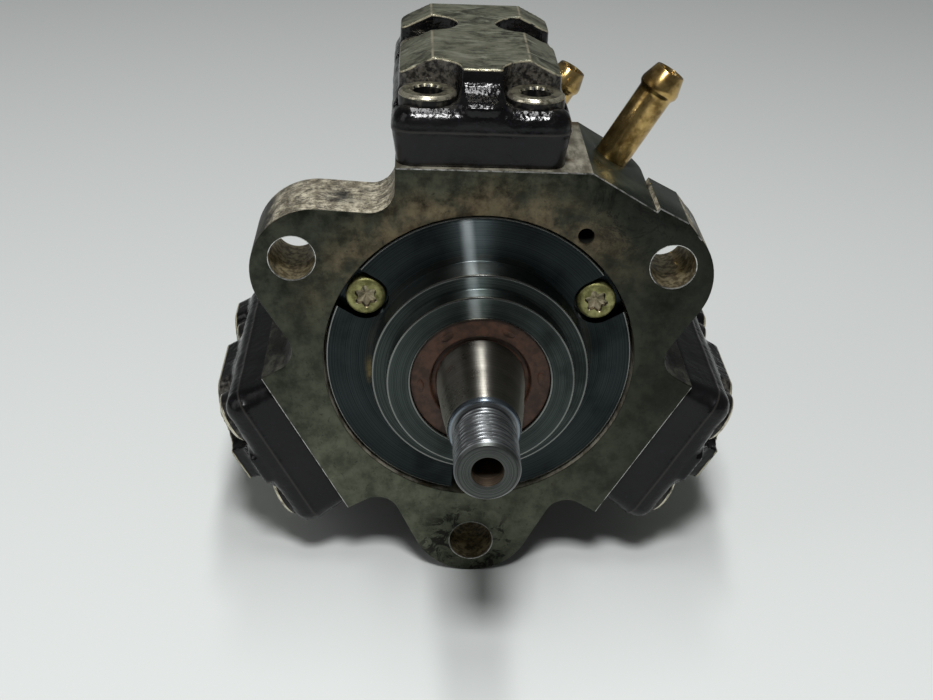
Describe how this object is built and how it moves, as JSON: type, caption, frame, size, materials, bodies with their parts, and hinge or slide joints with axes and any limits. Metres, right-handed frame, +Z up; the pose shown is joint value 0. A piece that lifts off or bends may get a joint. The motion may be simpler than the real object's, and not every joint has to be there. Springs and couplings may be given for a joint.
{
  "type": "diesel injection pump",
  "caption": "Radial-piston high-pressure diesel pump with a bolted flange, tapered drive shaft, hose nipples and a pressure control valve.",
  "frame": {"origin": "on the shaft axis in the flange's mounting face", "axes": "+Z up through the top cylinder, +Y along the shaft into the pump, -Y out of the shaft's threaded end, +X right as seen from the shaft end"},
  "size_m": [0.1287, 0.1592, 0.1261],
  "materials": {
    "housing_iron": "machined and cast grey iron, lightly oiled",
    "cover_steel": "dark turned steel",
    "zinc_yellow": "yellow zinc plating",
    "seal_rubber": "brown rubber",
    "black_rubber": "black rubber",
    "bearing_bronze": "bearing bronze",
    "shaft_steel": "ground steel",
    "steel": "machined steel",
    "nipple_zinc": "yellow zinc plating, darkened",
    "coil_plastic": "black moulded plastic",
    "contact_metal": "tinned contacts",
    "head_black": "black coated casting",
    "screw_black": "black oxide"
  },
  "bodies": {
    "pump_body": {"pump_housing": "housing_iron", "front_cover": "cover_steel", "cover_screws": "zinc_yellow", "shaft_seal": "seal_rubber", "cover_o_ring": "black_rubber", "barrel_o_rings": "black_rubber", "control_valve_o_ring": "black_rubber", "front_bush": "bearing_bronze", "rear_bush": "bearing_bronze", "seal_garter_spring": "steel", "outlet_plugs": "steel", "safety_valve_spring": "steel", "safety_valve_plug": "steel", "control_valve_body": "steel", "control_valve_seat": "steel", "control_valve_spring": "steel", "control_valve_screws": "steel", "inlet_nipple": "nipple_zinc", "return_nipple": "nipple_zinc", "outlet_connector": "steel", "control_valve_coil": "coil_plastic", "contact_pins": "contact_metal", "cylinder_head_top": "head_black", "head_screws_top": "screw_black", "cylinder_barrel_top": "steel", "plunger_spring_top": "steel", "inlet_valve_spring_top": "steel", "outlet_spring_top": "steel", "cylinder_head_left": "head_black", "head_screws_left": "screw_black", "cylinder_barrel_left": "steel", "plunger_spring_left": "steel", "inlet_valve_spring_left": "steel", "outlet_spring_left": "steel", "cylinder_head_right": "head_black", "head_screws_right": "screw_black", "cylinder_barrel_right": "steel", "plunger_spring_right": "steel", "inlet_valve_spring_right": "steel", "outlet_spring_right": "steel"},
    "shaft": {"drive_shaft": "shaft_steel"},
    "ring": {"polygon_ring": "steel", "ring_bush": "bearing_bronze"},
    "washers": {"thrust_washers": "bearing_bronze"},
    "plunger_set_top": {"plunger_top": "steel", "plunger_foot_top": "steel"},
    "plunger_set_left": {"plunger_left": "steel", "plunger_foot_left": "steel"},
    "plunger_set_right": {"plunger_right": "steel", "plunger_foot_right": "steel"},
    "inlet_plate_top": {"inlet_valve_top": "steel"},
    "inlet_plate_left": {"inlet_valve_left": "steel"},
    "inlet_plate_right": {"inlet_valve_right": "steel"},
    "outlet_check_top": {"outlet_ball_top": "steel"},
    "outlet_check_left": {"outlet_ball_left": "steel"},
    "outlet_check_right": {"outlet_ball_right": "steel"},
    "safety_piston": {"safety_valve_piston": "steel"},
    "valve_armature": {"control_valve_armature": "steel", "control_valve_ball": "steel"}
  },
  "joints": [
    {"name": "shaft_spin", "type": "hinge", "parent": "pump_body", "child": "shaft", "pos_m": [0, 0.0295, 0], "axis": [0, -1, 0], "continuous": true},
    {"name": "ring_orbit", "type": "hinge", "parent": "shaft", "child": "ring", "pos_m": [0, 0.0295, 0.0032], "axis": [0, -1, 0], "continuous": true},
    {"name": "washer_float", "type": "hinge", "parent": "shaft", "child": "washers", "pos_m": [0, 0.0295, 0.0016], "axis": [0, -1, 0], "continuous": true},
    {"name": "plunger_stroke_top", "type": "hinge", "parent": "washers", "child": "plunger_set_top", "pos_m": [0, 0.0295, 0.0032], "axis": [0, -1, 0], "continuous": true, "deforming": ["plunger_spring_top"]},
    {"name": "plunger_stroke_left", "type": "hinge", "parent": "washers", "child": "plunger_set_left", "pos_m": [0.00139, 0.0295, 0.0008], "axis": [0, -1, 0], "continuous": true, "deforming": ["plunger_spring_left"]},
    {"name": "plunger_stroke_right", "type": "hinge", "parent": "washers", "child": "plunger_set_right", "pos_m": [-0.00139, 0.0295, 0.0008], "axis": [0, -1, 0], "continuous": true, "deforming": ["plunger_spring_right"]},
    {"name": "inlet_valve_lift_top", "type": "slide", "parent": "pump_body", "child": "inlet_plate_top", "axis": [0, 0, -1], "range_m": [0, 0.0008], "stiffness_N_per_m": 800, "springref_m": -0.0005, "deforming": ["inlet_valve_spring_top"]},
    {"name": "inlet_valve_lift_left", "type": "slide", "parent": "pump_body", "child": "inlet_plate_left", "axis": [0.866, 0, 0.5], "range_m": [0, 0.0008], "stiffness_N_per_m": 800, "springref_m": -0.0005, "deforming": ["inlet_valve_spring_left"]},
    {"name": "inlet_valve_lift_right", "type": "slide", "parent": "pump_body", "child": "inlet_plate_right", "axis": [-0.866, 0, 0.5], "range_m": [0, 0.0008], "stiffness_N_per_m": 800, "springref_m": -0.0005, "deforming": ["inlet_valve_spring_right"]},
    {"name": "outlet_valve_lift_top", "type": "slide", "parent": "pump_body", "child": "outlet_check_top", "axis": [0, 0, -1], "range_m": [0, 0.0008], "stiffness_N_per_m": 900, "springref_m": -0.0005, "deforming": ["outlet_spring_top"]},
    {"name": "outlet_valve_lift_left", "type": "slide", "parent": "pump_body", "child": "outlet_check_left", "axis": [0.866, 0, 0.5], "range_m": [0, 0.0008], "stiffness_N_per_m": 900, "springref_m": -0.0005, "deforming": ["outlet_spring_left"]},
    {"name": "outlet_valve_lift_right", "type": "slide", "parent": "pump_body", "child": "outlet_check_right", "axis": [-0.866, 0, 0.5], "range_m": [0, 0.0008], "stiffness_N_per_m": 900, "springref_m": -0.0005, "deforming": ["outlet_spring_right"]},
    {"name": "safety_valve_slide", "type": "slide", "parent": "pump_body", "child": "safety_piston", "axis": [0, 1, 0], "range_m": [0, 0.0025], "stiffness_N_per_m": 1200, "springref_m": -0.001, "deforming": ["safety_valve_spring"]},
    {"name": "control_valve_lift", "type": "slide", "parent": "pump_body", "child": "valve_armature", "axis": [0, 1, 0], "range_m": [0, 0.0005], "stiffness_N_per_m": 1500, "springref_m": -0.0005, "deforming": ["control_valve_spring"]}
  ],
  "couplings": [
    {"joint": "ring_orbit", "follows": "shaft_spin", "ratio": -1},
    {"joint": "washer_float", "follows": "shaft_spin", "ratio": -2},
    {"joint": "plunger_stroke_top", "follows": "shaft_spin", "ratio": 1},
    {"joint": "plunger_stroke_left", "follows": "shaft_spin", "ratio": 1},
    {"joint": "plunger_stroke_right", "follows": "shaft_spin", "ratio": 1}
  ]
}
